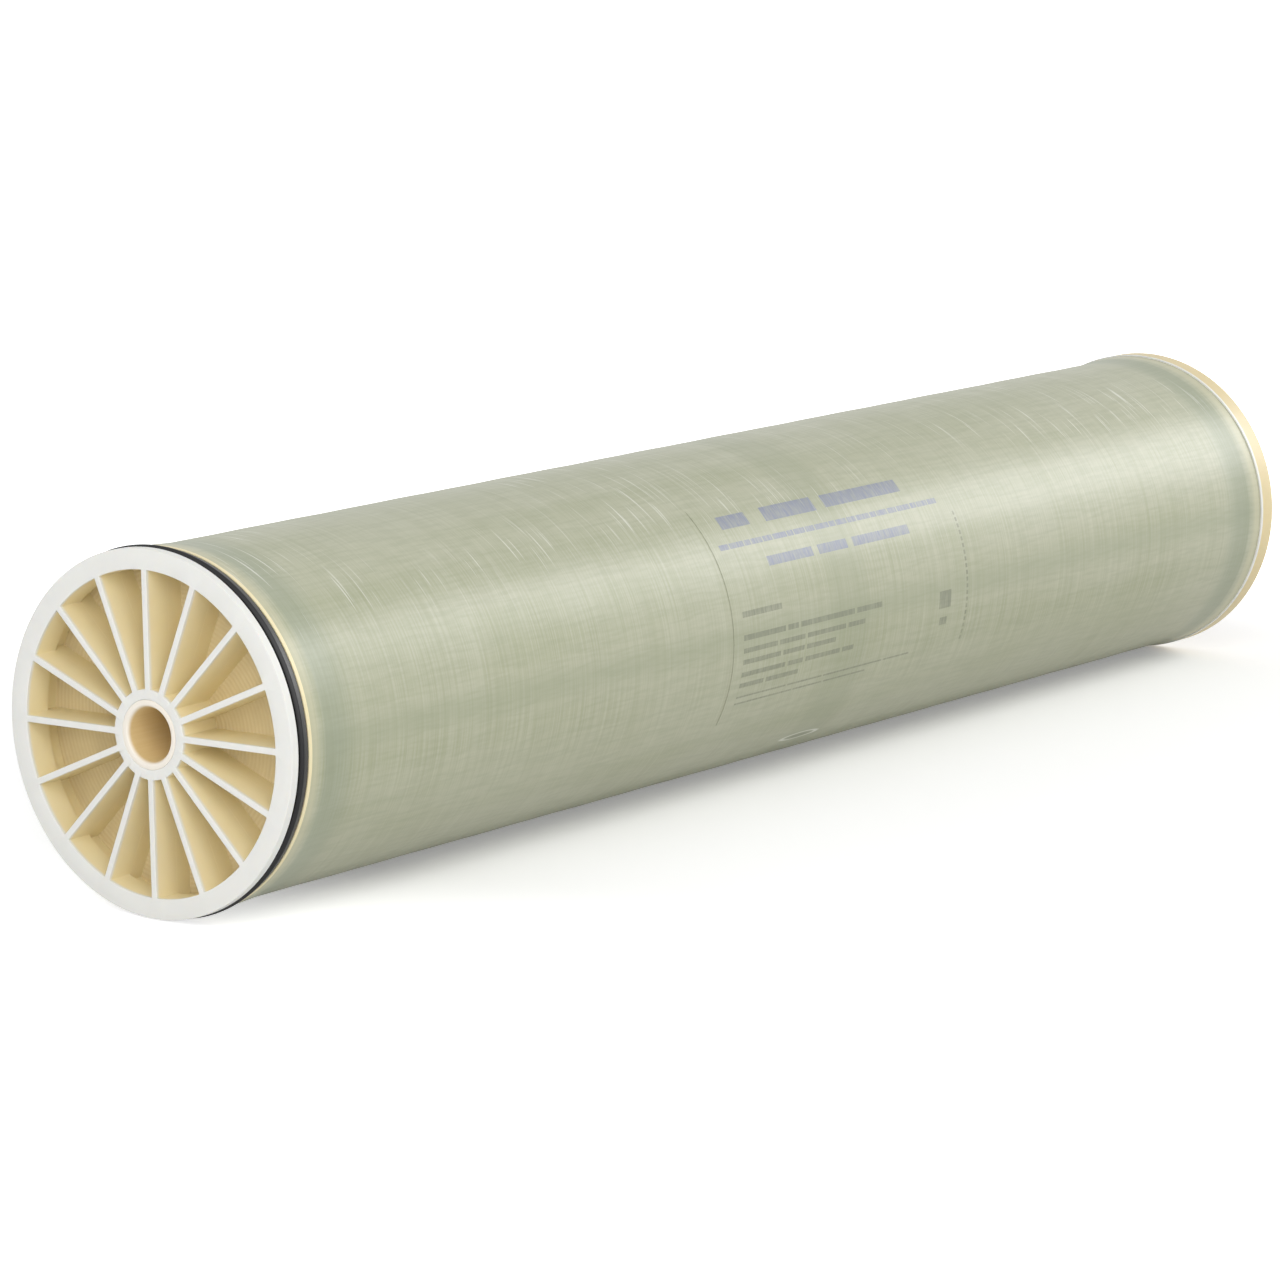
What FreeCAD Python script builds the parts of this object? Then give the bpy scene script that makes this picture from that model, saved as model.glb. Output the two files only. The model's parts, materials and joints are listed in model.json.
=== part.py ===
import FreeCAD, Part
import math
import os
import Sketcher

# A spiral-wound membrane element for desalting water, of the common eight by forty inch size.
#
# It stands on its concentrate end: the axis is +Z, the origin is the centre of the lower end face
# and the feed end, with the brine seal, is on top. Lengths are in millimetres.
#
# From the axis outwards: a slotted permeate tube, one wrap of permeate carrier, the roll of wound
# leaves, the tape that holds it closed and the wound glass-fibre shell. A moulded cap closes each
# end of the roll. Both caps are drawn from their outer face inwards, and the feed cap is then
# turned over.

SIZES = [
    ("overall_length", 1016, "from end face to end face"),
    ("rim_diameter", 201, "over both caps, which slide in the pressure vessel"),
    # shell and what it holds, from the rims inwards
    ("rim_stand", 0.9, "how far the rims stand out past the ends of the shell"),
    ("swell_height", 1.6, "how far the shell stands out at its ends"),
    ("swell_length", 20, "how far past the skirt that dies out"),
    ("shell_wall", 3.2, "winding over the roll"),
    ("skirt_cover", 2.6, "winding over the rim end of a skirt"),
    ("tape_thickness", 0.3, "film tape that holds the roll closed"),
    # end caps
    ("window_wall", 3.5, "between the windows and the floor of the seal groove"),
    ("recess_wall", 2, "between the seal groove and the wider space behind it"),
    ("skirt_wall", 4, "between that space and the shell"),
    ("skirt_length", 10, "from the seal's shoulder to the roll"),
    ("hub_wall", 5.5, "boss round the permeate tube"),
    ("spoke_count", 16, "spokes, evenly spaced"),
    ("spoke_width", 3.5, "thickness of one spoke"),
    ("plain_rim_width", 14.5, "rim of the concentrate cap, which has no groove"),
    # seal groove
    ("flange_width", 5, "rim in front of the groove"),
    ("groove_width", 9.5, "from wall to wall"),
    ("groove_depth", 8, "below the rim"),
    ("shoulder_width", 2.5, "rim behind the groove"),
    ("shoulder_step", 0.7, "how far the shoulder lies below the rim"),
    # brine seal
    ("lip_stand", 1, "how far the free lip stands out past the rim"),
    ("lip_flare", 2, "how far the lip leans out from the heel"),
    ("lip_thickness", 2.4, "lip"),
    ("leg_thickness", 2.2, "leg on the floor of the groove"),
    ("heel_thickness", 2.8, "solid back of the cup"),
    ("crest_setback", 3.6, "from the front wall of the groove to the widest line of the lip"),
    ("tip_setback", 2, "from the front wall of the groove to the tips of the cup"),
    ("seal_clearance", 0.15, "between the heel and the rear wall of the groove"),
    # permeate tube
    ("bore_diameter", 28.6, "bored ends that take the interconnector"),
    ("bore_depth", 90, "length of those bored ends, with the mouth"),
    ("tube_wall", 4.7, "round the bored ends"),
    ("mouth_step", 1.7, "how much wider the mouth is than the bored end"),
    ("mouth_depth", 3, "length of the mouth"),
    ("core_step", 0.6, "how much narrower the tube is between its bored ends"),
    ("slot_length", 24, "slots that let the permeate in"),
    ("slot_width", 2, "width of a slot"),
    ("slots_per_row", 5, "slots in each of the first pair of rows"),
    ("slot_margin", 40, "from a bored end to the middle of the first slot"),
    # roll
    ("carrier_thickness", 0.5, "first turns of permeate carrier round the tube"),
    ("leaf_count", 16, "leaves wound side by side"),
    ("leaf_thickness", 1.3, "one leaf: two membranes, a feed spacer and a permeate carrier"),
    ("leaves_marked", 1, "how many of those leaves have a parting line drawn beside them"),
    ("line_width", 1.2, "width of a parting line"),
    ("line_depth", 0.8, "depth of a parting line in the trimmed face"),
    ("line_margin", 1.5, "from the carrier wrap to the start of a line, and from its end to the edge"),
    # printed film
    ("film_length", 258, "along the axis"),
    ("film_start", 362, "height of its lower edge"),
    ("film_span", 80, "degrees of the shell that it covers"),
    ("film_turn", -2, "degrees from +X to its middle"),
    ("film_clearance", 0.3, "resin between the winding and the film"),
    ("film_thickness", 0.2, "film"),
]

# Sizes that follow from those, as formulas in the same sheet.
FITTED = [
    ("shell_end_diameter", "=rim_diameter - 2 * rim_stand", "outside of the winding at the rims"),
    ("shell_diameter", "=shell_end_diameter - 2 * swell_height", "outside of it along the roll"),
    ("tape_diameter", "=shell_diameter - 2 * shell_wall", "outside of the tape"),
    ("roll_diameter", "=tape_diameter - 2 * tape_thickness", "outside of the wound leaves"),
    ("skirt_diameter", "=shell_end_diameter - 2 * skirt_cover", "what the shell is wound over"),
    ("groove_floor_diameter", "=rim_diameter - 2 * groove_depth", "floor of the seal groove"),
    ("shoulder_diameter", "=rim_diameter - 2 * shoulder_step", "rim behind the groove"),
    ("window_diameter", "=groove_floor_diameter - 2 * window_wall", "outside of the windows"),
    ("recess_diameter", "=skirt_diameter - 2 * skirt_wall", "the wider space behind them"),
    ("lip_diameter", "=rim_diameter + 2 * lip_stand", "free diameter of the seal"),
    ("tube_diameter", "=bore_diameter + 2 * tube_wall", "outside of the tube"),
    ("mouth_diameter", "=bore_diameter + 2 * mouth_step", "lead-in at the end face"),
    ("core_diameter", "=bore_diameter - 2 * core_step", "tube between its bored ends"),
    ("hub_diameter", "=tube_diameter + 2 * hub_wall", "boss round the tube"),
    ("carrier_diameter", "=tube_diameter + 2 * carrier_thickness", "outside of the carrier wrap"),
    ("groove_rear", "=flange_width + groove_width", "depth of the groove's rear wall"),
    ("rim_depth", "=groove_rear + recess_wall", "depth at which the windows widen"),
    ("shoulder_rear", "=groove_rear + shoulder_width", "depth at which the feed skirt starts"),
    ("web_depth", "=shoulder_rear + skirt_length", "depth of the roll's face"),
    ("leaf_pitch", "=leaf_count * leaf_thickness", "from one turn of a leaf to its next"),
    ("first_slot", "=bore_depth + slot_margin", "height of the first slot's middle"),
]

# Radii and depths that more than one piece shares, as expressions on the sheet.
RIM = "sizes.rim_diameter / 2"
SKIRT = "sizes.skirt_diameter / 2"
TUBE = "sizes.tube_diameter / 2"
CARRIER = "sizes.carrier_diameter / 2"
ROLL = "sizes.roll_diameter / 2"
TAPE = "sizes.tape_diameter / 2"
SHELL = "sizes.shell_diameter / 2"
SHELL_END = "sizes.shell_end_diameter / 2"
FLOOR = "sizes.groove_floor_diameter / 2"
LIP = "sizes.lip_diameter / 2"
WEB = "sizes.web_depth"
GROOVE_REAR = "sizes.groove_rear"
SHOULDER_REAR = "sizes.shoulder_rear"
FIRST_SLOT = "sizes.first_slot"


def make_sheet(doc):
    """Write every size into a spreadsheet, one row each."""
    sheet = doc.addObject("Spreadsheet::Sheet", "sizes")
    for row, (alias, content, note) in enumerate(SIZES + FITTED, start=1):
        sheet.set(f"A{row}", alias)
        sheet.set(f"B{row}", str(content))
        sheet.setAlias(f"B{row}", alias)
        sheet.set(f"C{row}", note)
    doc.recompute()
    return sheet


def origin_part(body, role):
    """Return the axis or plane of a body's own origin that has this role."""
    return next(part for part in body.Origin.OriginFeatures if part.Role == role)


def from_top(depth):
    """Turn a depth below the feed end face into a height."""
    return f"sizes.overall_length - ({depth})"


def new_sketch(body, name, plane):
    """Attach an empty sketch to one of the body's origin planes."""
    sketch = body.newObject("Sketcher::SketchObject", name)
    sketch.AttachmentSupport = [(origin_part(body, plane), "")]
    sketch.MapMode = "FlatFace"
    return sketch


def bind(sketch, kind, *where):
    """Add a dimension whose value is the expression that ends the arguments."""
    *place, expression = where
    value = sketch.evalExpression(expression)
    value = math.radians(value.Value) if kind == "Angle" else float(value)
    index = sketch.addConstraint(Sketcher.Constraint(kind, *place, value))
    sketch.setExpression(f"Constraints[{index}]", expression)


def add_polygon(sketch, points):
    """Draw a closed outline; each point is a pair of expressions, (radius, height)."""
    corners = []
    for radius, height in points:
        across = float(sketch.evalExpression(radius))
        up = float(sketch.evalExpression(height))
        corners.append(FreeCAD.Vector(across, up, 0))
    first = sketch.GeometryCount
    count = len(corners)
    for i in range(count):
        sketch.addGeometry(Part.LineSegment(corners[i], corners[(i + 1) % count]), False)
    for i in range(count):
        following = first + (i + 1) % count
        sketch.addConstraint(Sketcher.Constraint("Coincident", first + i, 2, following, 1))
    for i, (radius, height) in enumerate(points):
        bind(sketch, "DistanceX", -1, 1, first + i, 1, radius)
        if height == "0":
            sketch.addConstraint(Sketcher.Constraint("PointOnObject", first + i, 1, -1))
        else:
            bind(sketch, "DistanceY", -1, 1, first + i, 1, height)


def revolve(body, name, points):
    """Turn an outline in the XZ plane right round the Z axis."""
    sketch = new_sketch(body, name + "_profile", "XZ_Plane")
    add_polygon(sketch, points)
    ring = body.newObject("PartDesign::Revolution", name)
    ring.Profile = sketch
    ring.ReferenceAxis = (origin_part(body, "Z_Axis"), [""])
    ring.Angle = 360
    return ring


def turned_ring(doc, label, points):
    """Make a body that is a single revolved outline."""
    body = doc.addObject("PartDesign::Body", label)
    body.Label = label
    revolve(body, label + "_turned", points)
    return body


def turn_over(body):
    """Stand a piece that was drawn from its end face inwards on the feed end."""
    length = float(body.evalExpression("sizes.overall_length"))
    upside_down = FreeCAD.Rotation(FreeCAD.Vector(1, 0, 0), 180)
    body.Placement = FreeCAD.Placement(FreeCAD.Vector(0, 0, length), upside_down)
    body.setExpression("Placement.Base.z", "sizes.overall_length")


def window_sketch(body, name, outer_radius, depth):
    """Draw the window about +X: two arcs and the flanks of the spokes half a pitch to each side."""
    sketch = new_sketch(body, name, "XY_Plane")
    plane = FreeCAD.Vector(0, 0, float(sketch.evalExpression(depth)))
    sketch.AttachmentOffset = FreeCAD.Placement(plane, FreeCAD.Rotation())
    sketch.setExpression("AttachmentOffset.Base.z", depth)

    inner_radius = "sizes.hub_diameter / 2"
    flank_offset = "sizes.spoke_width / 2"
    half_pitch = "180 / sizes.spoke_count * 1deg"
    outer = float(sketch.evalExpression(outer_radius))
    inner = float(sketch.evalExpression(inner_radius))
    offset = float(sketch.evalExpression(flank_offset))
    turn = math.radians(float(sketch.evalExpression("180 / sizes.spoke_count")))

    def flank_end(radius):
        """Where the upper flank meets the circle of this radius."""
        angle = turn - math.asin(offset / radius)
        return FreeCAD.Vector(radius * math.cos(angle), radius * math.sin(angle), 0)

    def mirrored(point):
        return FreeCAD.Vector(point.x, -point.y, 0)

    def middle_arc(radius):
        """Arc about the axis, from the lower flank to the upper one."""
        circle = Part.Circle(FreeCAD.Vector(0, 0, 0), FreeCAD.Vector(0, 0, 1), radius)
        reach = turn - math.asin(offset / radius)
        return Part.ArcOfCircle(circle, -reach, reach)

    near, far = flank_end(inner), flank_end(outer)
    rim, upper, boss, lower = range(4)
    sketch.addGeometry(middle_arc(outer), False)
    sketch.addGeometry(Part.LineSegment(near, far), False)
    sketch.addGeometry(middle_arc(inner), False)
    sketch.addGeometry(Part.LineSegment(mirrored(near), mirrored(far)), False)
    corners = [(rim, 2, upper, 2), (upper, 1, boss, 2), (boss, 1, lower, 1), (lower, 2, rim, 1)]
    for corner in corners:
        sketch.addConstraint(Sketcher.Constraint("Coincident", *corner))
    for arc in (rim, boss):
        sketch.addConstraint(Sketcher.Constraint("Coincident", arc, 3, -1, 1))
    bind(sketch, "Radius", rim, outer_radius)
    bind(sketch, "Radius", boss, inner_radius)
    bind(sketch, "Angle", upper, half_pitch)
    bind(sketch, "Angle", lower, f"-({half_pitch})")
    bind(sketch, "Distance", -1, 1, upper, flank_offset)
    bind(sketch, "Distance", -1, 1, lower, flank_offset)
    return sketch


def cut_windows(body, label):
    """Core out the windows from the end face and the wider recess behind the rim."""
    front = body.newObject("PartDesign::Pocket", label + "_window")
    front.Profile = window_sketch(body, label + "_window_outline", "sizes.window_diameter / 2", "0")
    front.Reversed = True
    front.setExpression("Length", WEB)
    back = body.newObject("PartDesign::Pocket", label + "_recess")
    back.Profile = window_sketch(body, label + "_recess_outline", "sizes.recess_diameter / 2", WEB)
    back.setExpression("Length", f"{WEB} - sizes.rim_depth")
    windows = body.newObject("PartDesign::PolarPattern", label + "_windows")
    windows.Originals = [front, back]
    windows.Axis = (origin_part(body, "Z_Axis"), [""])
    windows.Angle = 360
    windows.setExpression("Occurrences", "sizes.spoke_count")
    body.Tip = windows


def make_end_cap(doc, label, rim_outline):
    """Mould a cap: rim, skirt and hub in one turned blank, then the windows cut out of it."""
    body = doc.addObject("PartDesign::Body", label)
    body.Label = label
    revolve(body, label + "_blank", [(TUBE, "0"), (RIM, "0")] + rim_outline + [(SKIRT, WEB), (TUBE, WEB)])
    doc.recompute()
    solid_blank = body.Shape.Volume
    cut_windows(body, label)
    doc.recompute()
    if body.Shape.Volume > 0.8 * solid_blank:
        raise RuntimeError(label + ": the windows were not cut")
    return body


def make_feed_end_cap(doc):
    """The cap that carries the brine seal, with its groove between a flange and a shoulder."""
    shoulder = "sizes.shoulder_diameter / 2"
    rim_outline = [
        (RIM, "sizes.flange_width"),
        (FLOOR, "sizes.flange_width"),
        (FLOOR, GROOVE_REAR),
        (shoulder, GROOVE_REAR),
        (shoulder, SHOULDER_REAR),
        (SKIRT, SHOULDER_REAR),
    ]
    cap = make_end_cap(doc, "feed_end_cap", rim_outline)
    turn_over(cap)
    return cap


def make_concentrate_end_cap(doc):
    """The cap at the foot, whose rim is a plain band."""
    rim_outline = [(RIM, "sizes.plain_rim_width"), (SKIRT, "sizes.plain_rim_width")]
    return make_end_cap(doc, "concentrate_end_cap", rim_outline)


def make_brine_seal(doc):
    """U-cup ring: a leg on the groove's floor and a lip that the feed pressure opens."""
    rear = f"{GROOVE_REAR} - sizes.seal_clearance"
    cup_floor = f"{rear} - sizes.heel_thickness"
    tip = "sizes.flange_width + sizes.tip_setback"
    heel = f"{LIP} - sizes.lip_flare"
    leg = f"{FLOOR} + sizes.leg_thickness"
    outline = [
        (FLOOR, tip),
        (leg, tip),
        (f"({leg} + {heel} - sizes.lip_thickness) / 2", cup_floor),
        (f"{LIP} - sizes.lip_thickness", tip),
        (LIP, "sizes.flange_width + sizes.crest_setback"),
        (heel, rear),
        (FLOOR, rear),
    ]
    seal = turned_ring(doc, "brine_seal", outline)
    turn_over(seal)
    return seal


def cut_rows(body, name, plane, first, count):
    """Saw two opposite rows of slots through the tube, from the height of the first one's middle."""
    sketch = new_sketch(body, name + "_outline", plane)
    half_width = "sizes.slot_width / 2"
    low = f"{first} - sizes.slot_length / 2"
    high = f"{first} + sizes.slot_length / 2"
    left = f"-({half_width})"
    add_polygon(sketch, [(left, low), (half_width, low), (half_width, high), (left, high)])
    slot = body.newObject("PartDesign::Pocket", name + "_slot")
    slot.Profile = sketch
    slot.SideType = "Symmetric"
    slot.setExpression("Length", "sizes.tube_diameter + sizes.slot_width")
    row = body.newObject("PartDesign::LinearPattern", name)
    row.Originals = [slot]
    row.Direction = (origin_part(body, "Z_Axis"), [""])
    row.setExpression("Length", f"sizes.overall_length - 2 * ({first})")
    row.setExpression("Occurrences", count)
    body.Tip = row


def make_permeate_tube(doc):
    """Extruded tube with bored ends, and rows of slots that are staggered a quarter turn apart."""
    bore = "sizes.bore_diameter / 2"
    mouth = "sizes.mouth_diameter / 2"
    core = "sizes.core_diameter / 2"
    length = "sizes.overall_length"
    outline = [
        (TUBE, "0"),
        (TUBE, length),
        (mouth, length),
        (bore, from_top("sizes.mouth_depth")),
        (bore, from_top("sizes.bore_depth")),
        (core, from_top("sizes.bore_depth")),
        (core, "sizes.bore_depth"),
        (bore, "sizes.bore_depth"),
        (bore, "sizes.mouth_depth"),
        (mouth, "0"),
    ]
    tube = turned_ring(doc, "permeate_tube", outline)
    doc.recompute()
    unslotted = tube.Shape.Volume
    spacing = f"(sizes.overall_length - 2 * ({FIRST_SLOT})) / (sizes.slots_per_row - 1)"
    cut_rows(tube, "rows_across_y", "XZ_Plane", FIRST_SLOT, "sizes.slots_per_row")
    between = f"{FIRST_SLOT} + {spacing} / 2"
    cut_rows(tube, "rows_across_x", "YZ_Plane", between, "sizes.slots_per_row - 1")
    doc.recompute()
    if tube.Shape.Volume >= unslotted:
        raise RuntimeError("permeate_tube: the slots were not cut")
    return tube


def make_carrier_wrap(doc):
    """First turns of permeate carrier, over the slotted length between the caps."""
    head = from_top(WEB)
    return turned_ring(doc, "carrier_wrap", [(TUBE, WEB), (CARRIER, WEB), (CARRIER, head), (TUBE, head)])


def spiral_groove(start, pitch, half_turns, width, depth):
    """V-shaped cut along a spiral, as half rings that are turned in about two centres."""
    half_rings = []
    for number in range(half_turns):
        centre = FreeCAD.Vector(number % 2 * pitch / 2, 0, 0)
        side = 1 - 2 * (number % 2)
        middle = side * (start + number * pitch / 2)
        corners = [
            centre + FreeCAD.Vector(middle - width / 2, 0, 0),
            centre + FreeCAD.Vector(middle, 0, -depth),
            centre + FreeCAD.Vector(middle + width / 2, 0, 0),
        ]
        section = Part.Face(Part.makePolygon(corners, True))
        half_rings.append(section.revolve(centre, FreeCAD.Vector(0, 0, 1), 180))
    return half_rings[0].fuse(half_rings[1:])


def make_membrane_roll(doc, sheet):
    """Leaves wound round the tube, with the spiral line beside a leaf in both trimmed faces."""
    outside = doc.addObject("Part::Cylinder", "roll_outside")
    outside.setExpression("Radius", ROLL)
    inside = doc.addObject("Part::Cylinder", "roll_inside")
    inside.setExpression("Radius", CARRIER)
    for cylinder in (outside, inside):
        cylinder.setExpression("Height", f"sizes.overall_length - 2 * {WEB}")
        cylinder.setExpression("Placement.Base.z", WEB)
    blank = doc.addObject("Part::Cut", "roll_blank")
    blank.Base = outside
    blank.Tool = inside

    inset = sheet.line_margin + sheet.line_width / 2
    start = sheet.carrier_diameter / 2 + inset
    half_turns = int((sheet.roll_diameter / 2 - inset - start) // (sheet.leaf_pitch / 2))
    grooves = []
    for number in range(int(sheet.leaves_marked)):
        groove = spiral_groove(
            start, sheet.leaf_pitch, half_turns, sheet.line_width, sheet.line_depth
        )
        groove.rotate(FreeCAD.Vector(), FreeCAD.Vector(0, 0, 1), number * 360 / sheet.leaves_marked)
        grooves.append(groove)
    at_head = Part.makeCompound(grooves)
    at_foot = at_head.copy()
    at_foot.rotate(FreeCAD.Vector(0, 0, 0), FreeCAD.Vector(1, 0, 0), 180)
    at_foot.translate(FreeCAD.Vector(0, 0, sheet.web_depth))
    at_head.translate(FreeCAD.Vector(0, 0, sheet.overall_length - sheet.web_depth))
    lines = doc.addObject("Part::Feature", "roll_parting_lines")
    lines.Shape = Part.makeCompound([at_foot, at_head])

    roll = doc.addObject("Part::Cut", "membrane_roll")
    roll.Label = "membrane_roll"
    roll.Base = blank
    roll.Tool = lines
    return roll


def make_tape_wrap(doc):
    """Film tape round the whole roll, which keeps it closed while the shell is wound."""
    head = from_top(WEB)
    return turned_ring(doc, "tape_wrap", [(ROLL, WEB), (TAPE, WEB), (TAPE, head), (ROLL, head)])


def make_shell(doc):
    """Wound glass-fibre sleeve over the taped roll and both skirts, a little waisted."""
    swell = f"{WEB} + sizes.swell_length"
    outline = [
        (SHELL_END, "sizes.plain_rim_width"),
        (SHELL, swell),
        (SHELL, from_top(swell)),
        (SHELL_END, from_top(SHOULDER_REAR)),
        (SKIRT, from_top(SHOULDER_REAR)),
        (SKIRT, from_top(WEB)),
        (TAPE, from_top(WEB)),
        (TAPE, WEB),
        (SKIRT, WEB),
        (SKIRT, "sizes.plain_rim_width"),
    ]
    return turned_ring(doc, "fibreglass_shell", outline)


def make_label_film(doc):
    """Printed film on the outside of the winding, as a sector turned about its own middle."""
    film = doc.addObject("PartDesign::Body", "label_film")
    film.Label = "label_film"
    back = f"{SHELL} + sizes.film_clearance"
    face = f"{back} + sizes.film_thickness"
    foot = "sizes.film_start"
    head = "sizes.film_start + sizes.film_length"
    corners = [(back, foot), (face, foot), (face, head), (back, head)]
    sector = revolve(film, "film_sector", corners)
    sector.Midplane = True
    sector.setExpression("Angle", "sizes.film_span")
    turn = float(film.evalExpression("sizes.film_turn"))
    film.Placement.Rotation = FreeCAD.Rotation(FreeCAD.Vector(0, 0, 1), turn)
    film.setExpression("Placement.Rotation.Angle", "sizes.film_turn * 1deg")
    return film


def check(doc, pieces):
    """Stop if an object failed, or a piece is empty, invalid or not one solid."""
    for item in doc.Objects:
        if "Invalid" in item.State or "Error" in item.State:
            raise RuntimeError(f"{item.Name} did not recompute")
    for piece in pieces:
        shape = piece.Shape
        if shape.isNull() or not shape.isValid() or len(shape.Solids) != 1:
            raise RuntimeError(f"{piece.Label} is not one valid solid")


def main():
    doc = FreeCAD.newDocument("membrane_element")
    sheet = make_sheet(doc)
    pieces = [
        make_permeate_tube(doc),
        make_carrier_wrap(doc),
        make_membrane_roll(doc, sheet),
        make_feed_end_cap(doc),
        make_concentrate_end_cap(doc),
        make_brine_seal(doc),
        make_tape_wrap(doc),
        make_shell(doc),
        make_label_film(doc),
    ]
    doc.recompute()
    check(doc, pieces)
    os.makedirs("parts", exist_ok=True)
    for piece in pieces:
        piece.Shape.exportStep(f"parts/{piece.Label}.step")
        print(f"{piece.Label}: {piece.Shape.Volume / 1000:.1f} cm3")


main()
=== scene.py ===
# %% [markdown]
# # A spiral-wound membrane element
# The element is a cylinder a metre long: a roll of membrane leaves round a permeate tube, a spoked
# cap on each end, a rubber seal in one cap's groove and a wound glass-fibre shell over all of it.
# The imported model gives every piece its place. Here the pieces that show are modelled again with
# finer edges, and every piece gets the finish of what it is made of.

import json
import math

import bmesh
import bpy
from mathutils import Matrix, Vector

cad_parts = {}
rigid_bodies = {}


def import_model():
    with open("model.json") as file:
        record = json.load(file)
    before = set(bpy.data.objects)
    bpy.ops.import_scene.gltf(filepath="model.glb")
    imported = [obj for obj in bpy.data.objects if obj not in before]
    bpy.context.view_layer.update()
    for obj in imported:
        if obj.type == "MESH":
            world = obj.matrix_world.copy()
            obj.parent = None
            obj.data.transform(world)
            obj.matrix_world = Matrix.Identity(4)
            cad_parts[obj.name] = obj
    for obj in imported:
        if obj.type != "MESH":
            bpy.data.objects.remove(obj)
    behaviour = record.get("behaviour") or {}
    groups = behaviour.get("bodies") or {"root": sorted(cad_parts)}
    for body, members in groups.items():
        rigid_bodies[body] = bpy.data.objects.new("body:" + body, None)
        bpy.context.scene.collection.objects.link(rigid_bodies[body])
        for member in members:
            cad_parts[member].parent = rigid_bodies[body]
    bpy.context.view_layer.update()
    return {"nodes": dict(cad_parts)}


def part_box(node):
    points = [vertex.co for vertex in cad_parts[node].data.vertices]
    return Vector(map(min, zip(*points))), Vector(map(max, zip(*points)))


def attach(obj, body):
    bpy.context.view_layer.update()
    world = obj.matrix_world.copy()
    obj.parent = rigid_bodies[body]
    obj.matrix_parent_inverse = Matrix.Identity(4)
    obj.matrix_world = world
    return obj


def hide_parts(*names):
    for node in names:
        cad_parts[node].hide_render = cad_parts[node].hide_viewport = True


for leftover in list(bpy.data.objects):
    bpy.data.objects.remove(leftover)
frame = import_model()
cad = frame["nodes"]
print("pieces in the model:", ", ".join(sorted(cad)))

# %% [markdown]
# Lengths are written in millimetres, as on a drawing, and turned to metres where they are used.
# A height is written as a depth below an end face, because both ends of the element are built
# from their end face inwards. The places of the end faces and of the roll come from the model.

# %% Places and small measures
MM = 0.001
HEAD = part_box("feed_end_cap")[1].z
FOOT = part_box("concentrate_end_cap")[0].z
MIDDLE = (HEAD + FOOT) / 2
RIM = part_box("concentrate_end_cap")[1].x / MM
WEB = (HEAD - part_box("membrane_roll")[1].z) / MM
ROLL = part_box("membrane_roll")[1].x / MM
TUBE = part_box("permeate_tube")[1].x / MM
SPOKES = 16


def below_head(depth):
    """Height of a depth below the feed end face, both in the model's metres."""
    return HEAD - depth * MM


def above_foot(depth):
    """Height of a depth above the concentrate end face."""
    return FOOT + depth * MM


print(f"rim {RIM:.1f} mm, roll {ROLL:.1f} mm, tube {TUBE:.1f} mm, roll starts {WEB:.1f} mm in")

# %% [markdown]
# Almost every piece is round, so most of them are one closed outline that is spun about the axis.
# The outline is drawn once, point by point, as a turner would read it. After the spin its normals
# are pointed outwards, because the direction of the outline decides which way they come out.

# %% Draw an outline and spin it
def draw_outline(bm, points, height):
    """Draw a closed outline of (radius, depth) points in the XZ plane."""
    corners = [bm.verts.new((radius * MM, 0, height(depth))) for radius, depth in points]
    sides = [bm.edges.new((corners[i - 1], corners[i])) for i in range(len(corners))]
    return corners + sides


def spin_ring(bm, points, height, steps):
    """Spin a closed outline right round the axis."""
    section = draw_outline(bm, points, height)
    bmesh.ops.spin(
        bm,
        geom=section,
        cent=(0, 0, 0),
        axis=(0, 0, 1),
        dvec=(0, 0, 0),
        angle=2 * math.pi,
        steps=steps,
        use_merge=True,
    )
    bmesh.ops.recalc_face_normals(bm, faces=bm.faces)


# %% [markdown]
# No moulded or trimmed edge is razor sharp. A bevel along the sharp edges catches a thin line of
# light there, and that line is what makes a piece look real. It is chosen by the angle between two
# faces, so the smooth curves are left alone.

# %% Round the edges and hand a piece over
def round_edges(bm, radius, segments=3, chosen=lambda edge: True):
    """Bevel every edge sharper than 35 degrees that is chosen."""
    sharp = [
        edge
        for edge in bm.edges
        if len(edge.link_faces) == 2
        and edge.calc_face_angle() > math.radians(35)
        and chosen(edge)
    ]
    bmesh.ops.bevel(
        bm,
        geom=sharp,
        offset=radius * MM,
        offset_type="OFFSET",
        segments=segments,
        profile=0.5,
        affect="EDGES",
        clamp_overlap=True,
        material=-1,
    )
    return len(sharp)


def hand_over(bm, name, materials, stands_for):
    """Make the object, shade it smooth up to its edges and tie it to the model."""
    mesh = bpy.data.meshes.new(name)
    bm.to_mesh(mesh)
    bm.free()
    mesh.polygons.foreach_set("use_smooth", [True] * len(mesh.polygons))
    mesh.set_sharp_from_angle(angle=math.radians(35))
    for material in materials:
        mesh.materials.append(material)
    piece = bpy.data.objects.new(name, mesh)
    bpy.context.scene.collection.objects.link(piece)
    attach(piece, "root")
    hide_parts(stands_for)
    print(f"{name}: {len(mesh.polygons)} faces")
    return piece


# %% [markdown]
# ## Finishes
# Colours are written as hex codes, the way they are read off a colour card, and one function turns
# them to the linear numbers that the shader works in. One more function adds a node with its
# settings and links, so that each finish below reads as a short list of what it is made of.

# %% Colours and nodes
def colour(code):
    """Turn an sRGB hex code into a linear colour with full alpha."""
    channels = [int(code[i : i + 2], 16) / 255 for i in (1, 3, 5)]
    linear = [c / 12.92 if c <= 0.04045 else ((c + 0.055) / 1.055) ** 2.4 for c in channels]
    return (*linear, 1.0)


def add(tree, kind, settings, links):
    """Add a node; links pairs an input with a value or with the output that feeds it."""
    made = tree.nodes.new(kind)
    for name, value in settings.items():
        setattr(made, name, value)
    for name, value in links.items():
        if isinstance(value, bpy.types.NodeSocket):
            tree.links.new(value, made.inputs[name])
        else:
            made.inputs[name].default_value = value
    return made


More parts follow.
